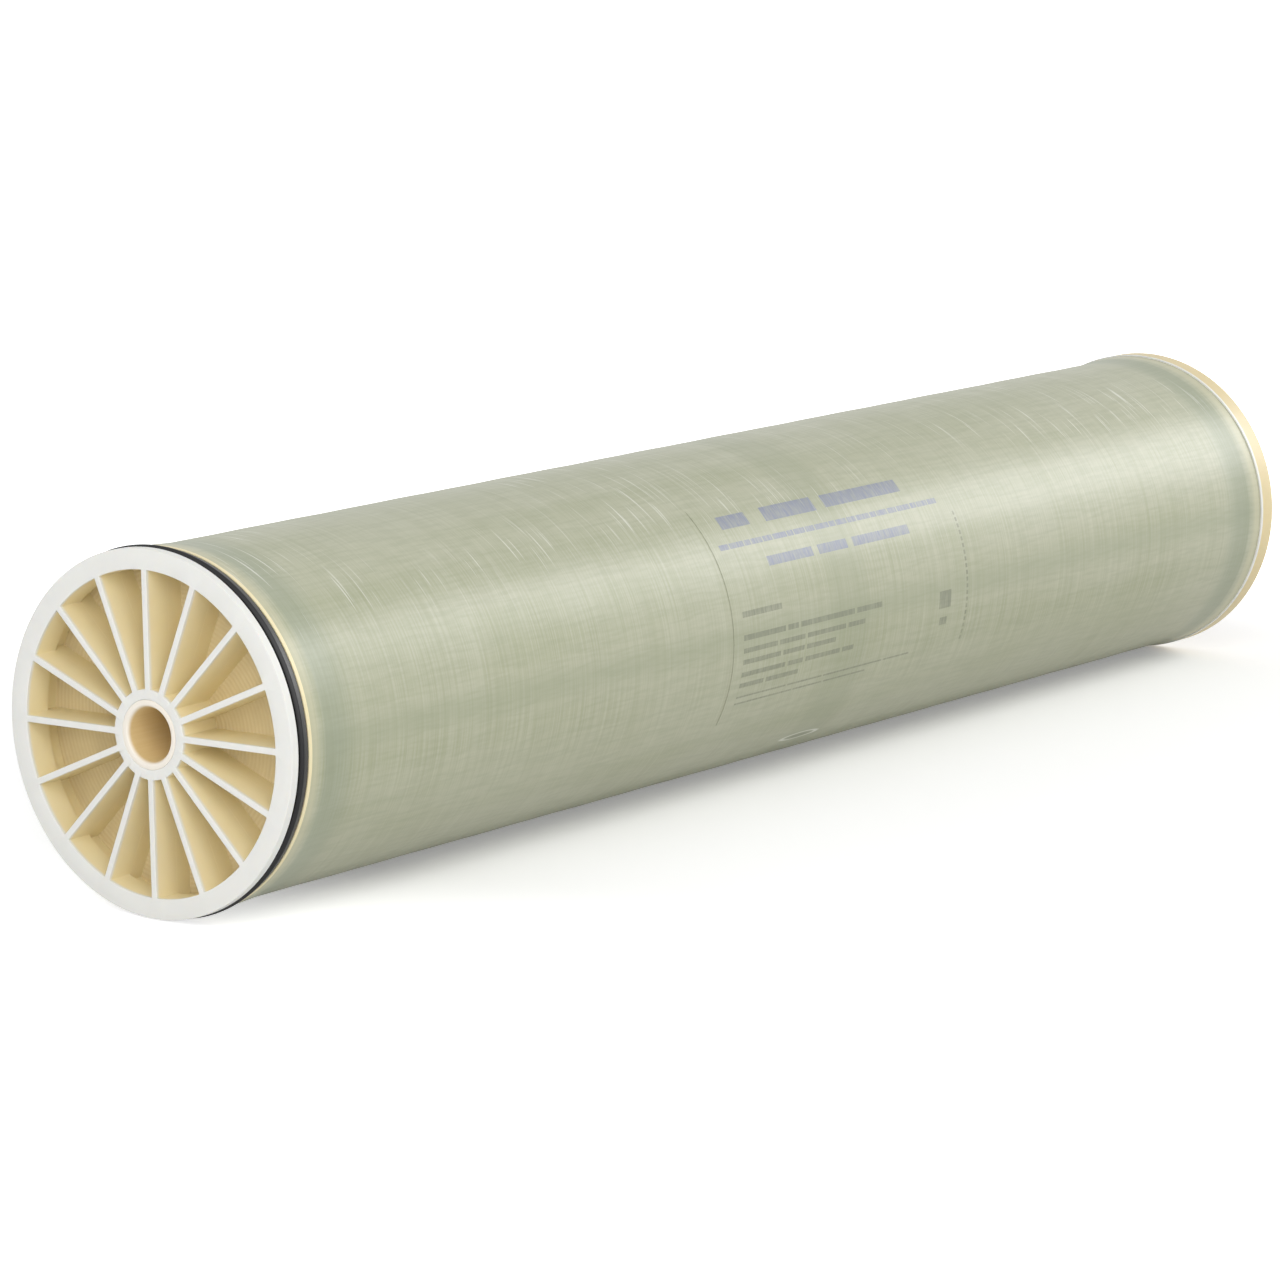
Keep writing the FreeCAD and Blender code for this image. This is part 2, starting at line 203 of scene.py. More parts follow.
def start_finish(name, roughness, ior):
    """Start a material and return its tree, its shader and the piece's own coordinates."""
    material = bpy.data.materials.new(name)
    material.use_nodes = True
    tree = material.node_tree
    shader = tree.nodes["Principled BSDF"]
    shader.inputs["Roughness"].default_value = roughness
    shader.inputs["IOR"].default_value = ior
    place = add(tree, "ShaderNodeTexCoord", {}, {}).outputs["Object"]
    return material, tree, shader, place


def stretched(tree, place, scale, turn=(0, 0, 0), shift=(0, 0, 0)):
    """Return coordinates that are turned and stretched by their own amount along each axis."""
    mapping = add(
        tree,
        "ShaderNodeMapping",
        {},
        {"Vector": place, "Scale": scale, "Rotation": turn, "Location": shift},
    )
    return mapping.outputs["Vector"]


def grain(tree, vector, detail=3.0):
    """Return smooth noise of about one blot per unit of its coordinates."""
    noise = add(tree, "ShaderNodeTexNoise", {}, {"Vector": vector, "Scale": 1.0, "Detail": detail})
    return noise.outputs["Fac"]


def band(tree, value, low, high, to_low=0.0, to_high=1.0):
    """Map a value smoothly from one range to another."""
    links = {"Value": value, 1: low, 2: high, 3: to_low, 4: to_high}
    ranged = add(tree, "ShaderNodeMapRange", {"interpolation_type": "SMOOTHSTEP"}, links)
    return ranged.outputs["Result"]


def reckon(tree, operation, *values):
    """Return the result of one sum."""
    links = dict(enumerate(values))
    return add(tree, "ShaderNodeMath", {"operation": operation}, links).outputs[0]


def measure(tree, operation, *vectors):
    """Return a number that is reckoned from vectors: a length, a distance or a dot product."""
    links = dict(enumerate(vectors))
    return add(tree, "ShaderNodeVectorMath", {"operation": operation}, links).outputs["Value"]


def blend(tree, factor, first, second):
    """Return one colour laid over another."""
    settings = {"data_type": "RGBA"}
    return add(tree, "ShaderNodeMix", settings, {0: factor, 6: first, 7: second}).outputs[2]


def raise_surface(tree, shader, height, depth):
    """Give the shader a relief of this depth in millimetres."""
    links = {"Height": height, "Distance": depth * MM, "Strength": 1.0}
    bump = add(tree, "ShaderNodeBump", {}, links)
    tree.links.new(bump.outputs["Normal"], shader.inputs["Normal"])


def heights(tree, place):
    """Return the height along the axis, and the depth below the nearer end face, in metres."""
    up = add(tree, "ShaderNodeSeparateXYZ", {}, {"Vector": place}).outputs["Z"]
    from_middle = reckon(tree, "ABSOLUTE", reckon(tree, "SUBTRACT", up, MIDDLE))
    return up, reckon(tree, "SUBTRACT", HEAD - MIDDLE, from_middle)


# %% [markdown]
# ### Moulded ABS
# The caps are injection moulded in cream ABS. Their end faces are pale. The walls of the pockets
# are given a darker, warmer tint that is painted shade: it stands for light that goes from wall to
# wall and picks up the colour of the resin each time. The finish goes from one to the other over
# the first millimetres of depth. Blots of 18 mm are the slow clouds of tint that natural resin has.
#
# The outside of the rim doesn't follow the depth. On the feed cap the flange is pale and all that
# lies behind it is cream. On the concentrate cap it is the other way: the rim is cream, and only
# the line next to the shell is pale.

# %% Finish of the caps
def make_moulded_abs(name, cream_and_shade, turning, ends_cream):
    """Return the resin's finish; the rim's outside changes tint at the depth turning, in mm."""
    material, tree, shader, place = start_finish(name, 0.42, 1.54)
    depth = heights(tree, place)[1]
    clouds = grain(tree, stretched(tree, place, (1 / (18 * MM),) * 3))
    # The first pair of tints is the cream of the rim's outside and the painted shade of the pocket
    # walls.
    deep = blend(tree, clouds, colour(cream_and_shade[0]), colour(cream_and_shade[1]))
    faces = blend(tree, clouds, colour("#DEDEDA"), colour("#E5E5E0"))
    # Deeper than 3 mm into a pocket the walls take the painted shade.
    pocket_shade = band(tree, depth, 0.5 * MM, 3.0 * MM)
    radius = measure(tree, "LENGTH", stretched(tree, place, (1, 1, 0)))
    outside = band(tree, radius, 95 * MM, 96 * MM)
    cream = band(tree, depth, turning * MM, (turning + 1) * MM, 1 - ends_cream, ends_cream)
    tinted = add(tree, "ShaderNodeMix", {}, {0: outside, 2: pocket_shade, 3: cream}).outputs[0]
    tree.links.new(blend(tree, tinted, faces, deep), shader.inputs["Base Color"])
    shader.inputs["Subsurface Weight"].default_value = 0.12
    shader.inputs["Subsurface Radius"].default_value = (1.0, 0.7, 0.35)
    shader.inputs["Subsurface Scale"].default_value = 2.5 * MM
    skin = grain(tree, stretched(tree, place, (1 / (0.9 * MM),) * 3), 2.0)
    raise_surface(tree, shader, skin, 0.02)
    return material


moulded_abs = make_moulded_abs("moulded_abs", ("#E7D8AB", "#EDE0B8"), 5.5, 1.0)
trimmed_abs = make_moulded_abs("trimmed_abs", ("#D2C08E", "#D8C798"), 12.0, 0.0)
print("made", moulded_abs.name, trimmed_abs.name)

# %% [markdown]
# ### Extruded PVC, rubber and the trimmed leaves
# The permeate tube is extruded, so its marks run along the axis. The seal is moulded EPDM rubber:
# nearly black, and just smooth enough to show one grey streak of light. The roll's face is cut
# with a saw through sixteen leaves of cream membrane, white carrier and clear spacer, so it shows
# a spiral of 1.3 mm bands. From far enough away to see the whole element they can't be told
# apart, so the pale and dark bands are drawn as one pair for every two leaves.

# %% Finishes of the tube, the seal and the roll
def make_extruded_pvc():
    material, tree, shader, place = start_finish("extruded_pvc", 0.38, 1.53)
    marks = grain(tree, stretched(tree, place, (900, 900, 6)))
    tint = blend(tree, marks, colour("#CFB37C"), colour("#D9C08E"))
    depth = heights(tree, place)[1]
    # Deeper than 2.5 mm from an end face the tube is darker and yellower: painted shade in the
    # bore.
    bore_shade = band(tree, depth, 0.3 * MM, 2.5 * MM)
    tree.links.new(blend(tree, bore_shade, colour("#EDE6DA"), tint), shader.inputs["Base Color"])
    raise_surface(tree, shader, marks, 0.03)
    return material


def make_moulded_rubber():
    material, tree, shader, place = start_finish("moulded_rubber", 0.4, 1.45)
    bloom = grain(tree, stretched(tree, place, (300, 300, 300)))
    tint = blend(tree, bloom, colour("#050506"), colour("#0C0C0E"))
    tree.links.new(tint, shader.inputs["Base Color"])
    raise_surface(tree, shader, bloom, 0.01)
    return material


def make_trimmed_leaves():
    material, tree, shader, place = start_finish("trimmed_leaves", 0.75, 1.5)
    flat = add(tree, "ShaderNodeSeparateXYZ", {}, {"Vector": place})
    angle = reckon(tree, "ARCTAN2", flat.outputs["Y"], flat.outputs["X"])
    radius = measure(tree, "LENGTH", stretched(tree, place, (1, 1, 0)))
    turns = reckon(tree, "MULTIPLY", radius, 2 * math.pi / (2.6 * MM))
    wave = reckon(tree, "SINE", reckon(tree, "ADD", turns, reckon(tree, "MULTIPLY", angle, 8.0)))
    saw_marks = grain(tree, stretched(tree, place, (700, 60, 60)))
    blots = grain(tree, stretched(tree, place, (60, 60, 60)))
    bands = band(tree, wave, -1.0, 1.0)
    leaves = blend(tree, bands, colour("#E0CEA2"), colour("#E6D6AE"))
    worn = blend(tree, band(tree, blots, 0.35, 0.7, 0.0, 0.6), leaves, colour("#DCCBA0"))
    tree.links.new(worn, shader.inputs["Base Color"])
    raise_surface(tree, shader, reckon(tree, "ADD", bands, saw_marks), 0.08)
    return material


extruded_pvc = make_extruded_pvc()
moulded_rubber = make_moulded_rubber()
trimmed_leaves = make_trimmed_leaves()
print("made", extruded_pvc.name, moulded_rubber.name, trimmed_leaves.name)

# %% [markdown]
# ### Wound glass fibre
# The shell is glass roving in clear resin, wound nearly round and round over greenish tape. The
# strands run along the hoop, so noise that is stretched along X and Y and squeezed along Z gives
# them without a seam. Four widths are laid over each other: the single strand, the roving, the
# band that one pass of the winder lays down, and the slow drift along the axis where resin ran.
# Glass in resin is clear, so where it is wetted well the green below shows, and where it is dry
# it looks white.
#
# The printed film lies in the same resin and is seen through the same strands. One function makes
# the base of both finishes, so that the strands run on across the edge of the film.

# %% Tint of the winding
PRINT_SIDE = math.radians(4.4)


def sideways(degrees):
    """Direction across the axis, as an angle from the middle of the print."""
    angle = PRINT_SIDE + math.radians(degrees)
    return Vector((math.cos(angle), math.sin(angle), 0))


def wind_fibres(tree, place):
    """Return the colour of the winding and the height of its strands."""
    strands = grain(tree, stretched(tree, place, (14, 14, 1 / (1.1 * MM))), 2.0)
    rovings = grain(tree, stretched(tree, place, (9, 9, 1 / (4.5 * MM))), 3.0)
    passes = grain(tree, stretched(tree, place, (2.5, 2.5, 1 / (30 * MM))), 2.0)
    threads = grain(tree, stretched(tree, place, (420, 420, 45)), 2.0)
    drift = grain(tree, stretched(tree, place, (1 / (26 * MM), 1 / (26 * MM), 1.6)), 3.0)
    wetted = grain(tree, stretched(tree, place, (16, 16, 9)), 3.0)

    tint = blend(tree, band(tree, rovings, 0.3, 0.7), colour("#A4A68B"), colour("#ABAD93"))
    tint = blend(tree, band(tree, drift, 0.38, 0.66, 0.0, 0.55), tint, colour("#929774"))
    tint = blend(tree, band(tree, wetted, 0.3, 0.72, 0.0, 0.4), tint, colour("#B2B39E"))
    tint = blend(tree, band(tree, strands, 0.3, 0.75, 0.0, 0.35), tint, colour("#C2C3B0"))
    tint = blend(tree, band(tree, threads, 0.35, 0.75, 0.0, 0.3), tint, colour("#8F9478"))
    height = reckon(tree, "ADD", strands, reckon(tree, "MULTIPLY", passes, 2.0))
    return tint, height


# %% [markdown]
# What lies under the winding shows through it: the joint of the tape halfway along, and the cream
# skirt of each cap. A darker band along two opposite sides is painted shade, and so is the dark
# hoop behind each skirt.

# %% Tape and skirts that show through, and painted shade
SHADE_BAND_ACROSS = sideways(75)
TAPE_JOINT = 500


def tint_show_through_and_shade(tree, place, tint):
    """Return the winding's colour with the tape and the skirts behind it, and with painted shade.
    """
    # A band along two opposite sides of the shell is darkened: painted shade.
    off_shade_band = reckon(tree, "ABSOLUTE", measure(tree, "DOT_PRODUCT", place, SHADE_BAND_ACROSS))
    tint = blend(tree, band(tree, off_shade_band, 0, 14 * MM, 0.4, 0.0), tint, colour("#90967A"))
    up, depth = heights(tree, place)
    joint = reckon(tree, "ABSOLUTE", reckon(tree, "SUBTRACT", up, TAPE_JOINT * MM))
    tint = blend(tree, band(tree, joint, 12 * MM, 26 * MM, 0.3, 0.0), tint, colour("#8E9478"))
    skirt = band(tree, depth, 20 * MM, 26 * MM, 0.5, 0.0)
    tint = blend(tree, skirt, tint, colour("#C9C4A4"))
    # Behind each skirt a darker, greener hoop is painted shade, where the shell's outside narrows.
    starts = band(tree, depth, 26 * MM, 30 * MM)
    fades = band(tree, depth, 38 * MM, 62 * MM, 0.5, 0.0)
    return blend(tree, reckon(tree, "MULTIPLY", starts, fades), tint, colour("#87907A"))


# %% [markdown]
# The shell has been handled. White scuffs run along the hoop on the side that is uppermost when
# it lies down, and low on the front the resin has lifted in one blister 38 mm long. The blister is
# drawn in colour only: its dark middle is painted shade and its pale edge a painted highlight. It
# is as deep as it is long, so it stays on its own side.

# %% Scuffs, and a blister of painted shade and highlight
RUBBED_SIDE = sideways(65.9)
BLISTER_SIDE = -68
BLISTER = sideways(BLISTER_SIDE) * 98.3 * MM + Vector((0, 0, 502 * MM))


def tint_wear_and_painted_light(tree, place, tint):
    """Return the winding's colour with the scuffs, and the blister's painted shade and highlight,
    over it.
    """
    scuffs = grain(tree, stretched(tree, place, (22, 22, 1 / (1.3 * MM)), shift=(3, 5, 7)), 1.0)
    worn = grain(tree, stretched(tree, place, (9, 9, 5), shift=(1, 8, 2)), 1.0)
    upper = measure(tree, "DOT_PRODUCT", place, RUBBED_SIDE)
    where = reckon(
        tree,
        "MULTIPLY",
        band(tree, worn, 0.4, 0.62, 0.0, 0.6),
        band(tree, upper, 55 * MM, 85 * MM),
    )
    rubbed = reckon(tree, "MULTIPLY", band(tree, scuffs, 0.63, 0.72), where)
    tint = blend(tree, rubbed, tint, colour("#E4E5DC"))

    offset = add(tree, "ShaderNodeVectorMath", {"operation": "SUBTRACT"}, {0: place, 1: BLISTER})
    back = -PRINT_SIDE - math.radians(BLISTER_SIDE)
    turned = stretched(tree, offset.outputs[0], (1, 1, 1), (0, 0, back))
    sizes = (1 / (40 * MM), 1 / (3.6 * MM), 1 / (19 * MM))
    outwards = measure(tree, "LENGTH", stretched(tree, turned, sizes))
    # The blister's middle is darkened: painted shade.
    tint = blend(tree, band(tree, outwards, 0.2, 0.9, 0.6, 0.0), tint, colour("#6F7458"))
    # Its edge is lightened: a painted highlight.
    highlight_rises = band(tree, outwards, 0.7, 0.9)
    highlight_falls = band(tree, outwards, 0.95, 1.2, 1.0, 0.0)
    return blend(tree, reckon(tree, "MULTIPLY", highlight_rises, highlight_falls), tint, colour("#DCDDD2"))


# %% [markdown]
# The ink lies below strands of glass, which break it up and take most of its colour. So the ink is
# the winding's own colour, drawn towards grey-blue or grey, and more so where the strands are thin.

# %% Finishes of the shell, the film and its print
def make_winding(name, ink=None, strength=0.0):
    """Return the winding's finish, with this much of an ink behind it."""
    material, tree, shader, place = start_finish(name, 0.42, 1.54)
    tint, height = wind_fibres(tree, place)
    tint = tint_wear_and_painted_light(tree, place, tint_show_through_and_shade(tree, place, tint))
    if ink:
        broken = grain(tree, stretched(tree, place, (120, 120, 1 / (1.4 * MM))), 2.0)
        cover = band(tree, broken, 0.25, 0.75, 0.55 * strength, strength)
        tint = blend(tree, cover, tint, colour(ink))
    tree.links.new(tint, shader.inputs["Base Color"])
    shader.inputs["Specular IOR Level"].default_value = 0.35
    shader.inputs["Coat Weight"].default_value = 0.2
    shader.inputs["Coat Roughness"].default_value = 0.32
    raise_surface(tree, shader, height, 0.06)
    return material


wound_glass = make_winding("wound_glass_fibre")
film_clear = make_winding("film_in_resin")
ink_blue = make_winding("print_slate_blue", "#6F7798", 0.8)
ink_grey = make_winding("print_grey", "#666B5C", 0.6)
print("made", wound_glass.name, film_clear.name, ink_blue.name, ink_grey.name)

# %% [markdown]
# ### Tape and carrier
# Both lie inside, and show only where the element is cut open or taken apart. Their finish is two
# close tints: slow and smooth on the tape, and as fine as its knit on the carrier.

# %% Finishes of the tape and the carrier
def make_plain(name, first, second, roughness, scale, relief):
    """Return a finish of two close tints with a fine relief."""
    material, tree, shader, place = start_finish(name, roughness, 1.5)
    mottle = grain(tree, stretched(tree, place, scale))
    tint = blend(tree, mottle, colour(first), colour(second))
    tree.links.new(tint, shader.inputs["Base Color"])
    raise_surface(tree, shader, mottle, relief)
    return material


rolled_tape = make_plain("rolled_tape", "#A9B08C", "#B9BE9F", 0.3, (20, 20, 60), 0.02)
knitted_polyester = make_plain(
    "knitted_polyester", "#E2DECF", "#EFECE1", 0.8, (900, 900, 900), 0.08
)
print("made", rolled_tape.name, knitted_polyester.name)

# %% [markdown]
# ## The end caps
# A cap is a rim and a hub joined by sixteen thin spokes. A boolean cut of sixteen windows would
# leave faces that bevel badly. Instead one sixteenth is built, with a spoke in its middle: the
# outlines of rim and hub are swept through its angle, a hole is opened in each where the spoke
# meets it, and the two holes are bridged. After the edges are rounded the sector is repeated
# round the axis and its copies are joined.
#
# The rim has the same undercut as the real one: 16.5 mm in, the windows widen behind the rim.

# %% Sweep a sector of a ring
SECTOR = 2 * math.pi / SPOKES
HALF_SPOKE = 1.75
WINDOW = 89
RECESS = 93
UNDERCUT = 16.5
HUB = 24.5


def sweep_sector(bm, points, height, wall_radius):
    """Sweep an outline across the sector, with one step exactly as wide as the spoke."""
    flank = math.asin(HALF_SPOKE / wall_radius)
    section = draw_outline(bm, points, height)
    bmesh.ops.rotate(
        bm,
        verts=[part for part in section if isinstance(part, bmesh.types.BMVert)],
        cent=(0, 0, 0),
        matrix=Matrix.Rotation(-SECTOR / 2, 3, "Z"),
    )
    for angle, steps in ((SECTOR / 2 - flank, 5), (2 * flank, 1), (SECTOR / 2 - flank, 5)):
        section = bmesh.ops.spin(
            bm,
            geom=section,
            cent=(0, 0, 0),
            axis=(0, 0, 1),
            dvec=(0, 0, 0),
            angle=angle,
            steps=steps,
            use_merge=False,
        )["geom_last"]


def radius_of(part):
    """Distance of a face's middle from the axis, in millimetres."""
    return part.calc_center_median().xy.length / MM


def open_for_spoke(bm, is_wall):
    """Delete the middle wall faces and return the edges of the hole."""
    wall = [
        face for face in bm.faces if abs(face.calc_center_median().y) < 0.1 * MM and is_wall(face)
    ]
    outer_edges = [
        edge for face in wall for edge in face.edges if sum(f in wall for f in edge.link_faces) == 1
    ]
    bmesh.ops.delete(bm, geom=wall, context="FACES")
    return outer_edges


# %% [markdown]
# The bevels come in three goes: a fillet where each spoke runs into the rim and the hub, a soft
# edge round every window, and a smaller one on the outside of the rim.

# %% Build a cap
def along_axis(edge):
    """Tell whether an edge runs parallel to the axis."""
    way = (edge.verts[1].co - edge.verts[0].co).normalized()
    return abs(way.z) > 0.99


def make_cap(name, rim_outline, height, finish):
    bm = bmesh.new()
    inner = [(RECESS, WEB), (RECESS, UNDERCUT), (WINDOW, UNDERCUT), (WINDOW, 0)]
    sweep_sector(bm, [(RIM, 0)] + rim_outline + inner, height, WINDOW)
    ledge = UNDERCUT + 0.1
    hub = [(TUBE, 0), (TUBE, WEB), (HUB, WEB), (HUB, ledge), (HUB, UNDERCUT), (HUB, 0)]
    sweep_sector(bm, hub, height, HUB)

    roll_face = height(WEB)

    def on_rim(face):
        deep = abs(face.calc_center_median().z - roll_face) < (WEB - UNDERCUT + 0.1) * MM
        return WINDOW - 1 < radius_of(face) < (RECESS if deep else WINDOW) + 0.2

    rim_hole = open_for_spoke(bm, on_rim)
    hub_hole = open_for_spoke(bm, lambda face: abs(radius_of(face) - HUB) < 0.2)
    bmesh.ops.bridge_loops(bm, edges=rim_hole + hub_hole)
    bmesh.ops.recalc_face_normals(bm, faces=bm.faces)

    face_height = height(0)

    def in_window(edge):
        middle = (edge.verts[0].co + edge.verts[1].co) / 2
        return HUB - 1 < middle.xy.length / MM < RECESS + 1

    def in_front(edge):
        return all(abs(vert.co.z - face_height) < 0.05 * MM for vert in edge.verts)

    round_edges(bm, 1.6, 4, lambda edge: along_axis(edge) and in_window(edge))
    round_edges(bm, 0.7, 3, lambda edge: in_window(edge) and in_front(edge))
    round_edges(bm, 0.5, 3, lambda edge: in_front(edge) and not in_window(edge))

    bmesh.ops.spin(
        bm,
        geom=bm.verts[:] + bm.edges[:] + bm.faces[:],
        cent=(0, 0, 0),
        axis=(0, 0, 1),
        dvec=(0, 0, 0),
        angle=2 * math.pi - SECTOR,
        steps=SPOKES - 1,
        use_duplicate=True,
    )
    bmesh.ops.rotate(
        bm, verts=bm.verts, cent=(0, 0, 0), matrix=Matrix.Rotation(SECTOR / 2, 3, "Z")
    )
    bmesh.ops.remove_doubles(bm, verts=bm.verts, dist=0.01 * MM)
    bmesh.ops.recalc_face_normals(bm, faces=bm.faces)
    open_edges = sum(not edge.is_manifold for edge in bm.edges)
    print(f"{name}: {open_edges} open edges")
    return hand_over(bm, name + "_moulded", [finish], name)


FLANGE = 5
GROOVE_REAR = 14.5
GROOVE_FLOOR = 92.5
SHOULDER = 99.8
SHOULDER_REAR = 17
SKIRT = 97

make_cap(
    "feed_end_cap",
    [
        (RIM, FLANGE),
        (GROOVE_FLOOR, FLANGE),
        (GROOVE_FLOOR, GROOVE_REAR),
        (SHOULDER, GROOVE_REAR),
        (SHOULDER, SHOULDER_REAR),
        (SKIRT, SHOULDER_REAR),
        (SKIRT, WEB),
    ],
    below_head,
    moulded_abs,
)
PLAIN_RIM = 14.5
make_cap(
    "concentrate_end_cap",
    [(RIM, PLAIN_RIM), (SKIRT, PLAIN_RIM), (SKIRT, WEB)],
    above_foot,
    trimmed_abs,
)

# %% [markdown]
# ## The brine seal
# The seal is a rubber U-cup: a leg lies on the floor of the groove, a lip leans outwards, and the
# feed water gets between the two and presses the lip against the vessel. It is one spun outline.
# The bevel is wide at the lip's crest, because moulded rubber has no crisp corner.

# %% Spin the seal
bm = bmesh.new()
SEAL_REAR = GROOVE_REAR - 0.15
spin_ring(
    bm,
    [
        (GROOVE_FLOOR, FLANGE + 2),
        (GROOVE_FLOOR + 2.2, FLANGE + 2),
        (95.9, SEAL_REAR - 2.8),
        (99.1, FLANGE + 2),
        (101.4, FLANGE + 3.6),
        (99.5, SEAL_REAR),
        (GROOVE_FLOOR, SEAL_REAR),
    ],
    below_head,
    192,
)
rounded = round_edges(bm, 0.5, 4)
print("rings rounded:", rounded // 192)
hand_over(bm, "brine_seal_cup", [moulded_rubber], "brine_seal")

# %% [markdown]
# ## The shell
# Under the strands the shell isn't straight: it stands out over the skirts at both ends, and each
# pass of the winder leaves it a little higher or lower. The outside of the outline is one long
# edge that is divided, and each new point is then set to the radius that the winding has there.

# %% Spin the shell
BODY = 98.3
SHELL_END = 99.6
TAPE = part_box("tape_wrap")[1].x / MM


def winding_radius(depth, rim_depth):
    """Outside of the winding at a depth below the nearer end face."""
    reach = min(max((depth - rim_depth) / (47 - rim_depth), 0), 1)
    ease = reach * reach * (3 - 2 * reach)
    ripple = 0.05 * math.sin(depth / 7.3) + 0.06 * math.sin(depth / 17.9 + 1)
    return SHELL_END + (BODY - SHELL_END) * ease + ripple * reach


bm = bmesh.new()
length = (HEAD - FOOT) / MM
corners = draw_outline(
    bm,
    [
        (SHELL_END, SHOULDER_REAR),
        (SHELL_END, length - PLAIN_RIM),
        (SKIRT, length - PLAIN_RIM),
        (SKIRT, length - WEB),
        (TAPE, length - WEB),
        (TAPE, WEB),
        (SKIRT, WEB),
        (SKIRT, SHOULDER_REAR),
    ],
    below_head,
)
outside = [
    part
    for part in corners
    if isinstance(part, bmesh.types.BMEdge)
    and all(abs(vert.co.x / MM - SHELL_END) < 0.01 for vert in part.verts)
]
bmesh.ops.subdivide_edges(bm, edges=outside, cuts=190)
for vert in bm.verts:
    if vert.co.x / MM > SHELL_END - 0.01:
        from_head = (HEAD - vert.co.z) / MM
        if from_head < length / 2:
            vert.co.x = winding_radius(from_head, SHOULDER_REAR) * MM
        else:
            vert.co.x = winding_radius(length - from_head, PLAIN_RIM) * MM
bmesh.ops.spin(
    bm,
    geom=bm.verts[:] + bm.edges[:],
    cent=(0, 0, 0),
    axis=(0, 0, 1),
    dvec=(0, 0, 0),
    angle=2 * math.pi,
    steps=160,
    use_merge=True,
)
bmesh.ops.recalc_face_normals(bm, faces=bm.faces)
hand_over(bm, "wound_shell", [wound_glass], "fibreglass_shell")

# %% [markdown]
# ## The printed film
# The film lies in the resin on the outside of the winding. Its print is drawn as plain bars that
# are as long and as high as lines of small print. The film starts flat, as it comes off the
# press: a sheet is cut along every edge of every bar, the faces inside a bar get the ink, and the
# sheet is then wrapped round the shell.

# %% Lay out the print
FILM_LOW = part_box("label_film")[0].z / MM
FILM_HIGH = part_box("label_film")[1].z / MM
FILM_RADIUS = 98.42
FILM_FROM, FILM_TO = -42, 38


def bars(angle, high, start, end, lengths, gap):
    """Return bars in one line: (upper and lower angle, upper and lower height) each."""
    half = math.degrees(high / 2 / FILM_RADIUS)
    middle = angle + math.degrees(PRINT_SIDE)
    made = []
    at = start
    number = 0
    while at - lengths[number % len(lengths)] > end:
        long = lengths[number % len(lengths)]
        made.append((middle - half, middle + half, at - long, at))
        at -= long + gap
        number += 1
    return made


blue_bars = bars(26, 9, 600, 565, [28], 3) + bars(26, 10, 556, 500, [52], 4)
blue_bars += bars(26, 9, 494, 405, [80], 4)
blue_bars += bars(17, 3.6, 612, 372, [9, 14, 6, 11], 0.9)
blue_bars += bars(9, 6, 573, 410, [46, 30, 60], 6)
grey_bars = bars(-7, 3.6, 610, 565, [40], 3)
grey_bars += bars(-15, 3.4, 610, 462, [42, 11, 56, 27], 2.4)
grey_bars += bars(-19.5, 3.0, 610, 470, [34, 26, 40, 18], 2.4)
grey_bars += bars(-23.5, 3.0, 610, 500, [38, 22, 30], 2.4)
grey_bars += bars(-28, 3.0, 610, 480, [44, 16, 36, 12], 2.4)
grey_bars += bars(-32, 3.0, 610, 540, [24, 33], 2.4)
grey_bars += bars(-36.5, 1.2, 610, 385, [50, 36, 62, 28], 1.5)
grey_bars += bars(-39, 1.2, 610, 465, [58, 30, 44], 1.5)
grey_bars += bars(-19, 11, 404, 388, [13], 2) + bars(-27, 5, 402, 392, [8], 2)
for step in range(20):
    grey_bars += bars(11 - 2.45 * step, 2.6, 374, 371, [2], 1)
print(len(blue_bars), "blue bars and", len(grey_bars), "grey ones")

# %% Cut the sheet along the bars and wrap it
bm = bmesh.new()
bmesh.ops.create_grid(bm, x_segments=1, y_segments=1, size=0.5)
for vert in bm.verts:
    vert.co.x = FILM_TO if vert.co.x > 0 else FILM_FROM
    vert.co.y = FILM_HIGH if vert.co.y > 0 else FILM_LOW


def cut_sheet(bm, place, across):
    """Cut the whole sheet along one line."""
    bmesh.ops.bisect_plane(
        bm,
        geom=bm.verts[:] + bm.edges[:] + bm.faces[:],
        dist=1e-4,
        plane_co=place,
        plane_no=across,
    )


printed = blue_bars + grey_bars
angles = {edge for bar in printed for edge in bar[:2]} | set(range(FILM_FROM, FILM_TO, 2))
levels = {edge for bar in printed for edge in bar[2:]}
for angle in sorted(angles):
    cut_sheet(bm, (angle, 0, 0), (1, 0, 0))
for level in sorted(levels):
    cut_sheet(bm, (0, level, 0), (0, 1, 0))


def inside(point, bar):
    """Tell whether a point of the sheet lies in a bar."""
    return bar[0] < point.x < bar[1] and bar[2] < point.y < bar[3]


for face in bm.faces:
    middle = face.calc_center_median()
    if any(inside(middle, bar) for bar in blue_bars):
        face.material_index = 1
    elif any(inside(middle, bar) for bar in grey_bars):
        face.material_index = 2
for vert in bm.verts:
    angle, level = math.radians(vert.co.x), vert.co.y
    vert.co = Vector((math.cos(angle) * FILM_RADIUS, math.sin(angle) * FILM_RADIUS, level)) * MM
bmesh.ops.recalc_face_normals(bm, faces=bm.faces)
outward = bm.faces[:][0]
if outward.normal.xy.dot(outward.calc_center_median().xy) < 0:
    bmesh.ops.reverse_faces(bm, faces=bm.faces)
bmesh.ops.solidify(bm, geom=bm.faces[:], thickness=0.1 * MM)
hand_over(bm, "film_print", [film_clear, ink_blue, ink_grey], "label_film")

# %% [markdown]
# ## The permeate tube and the roll
# Through the bore only the socket of the tube shows, and through the windows the cut face of the
# roll. Both are spun again with more steps, so that no flat sides show.

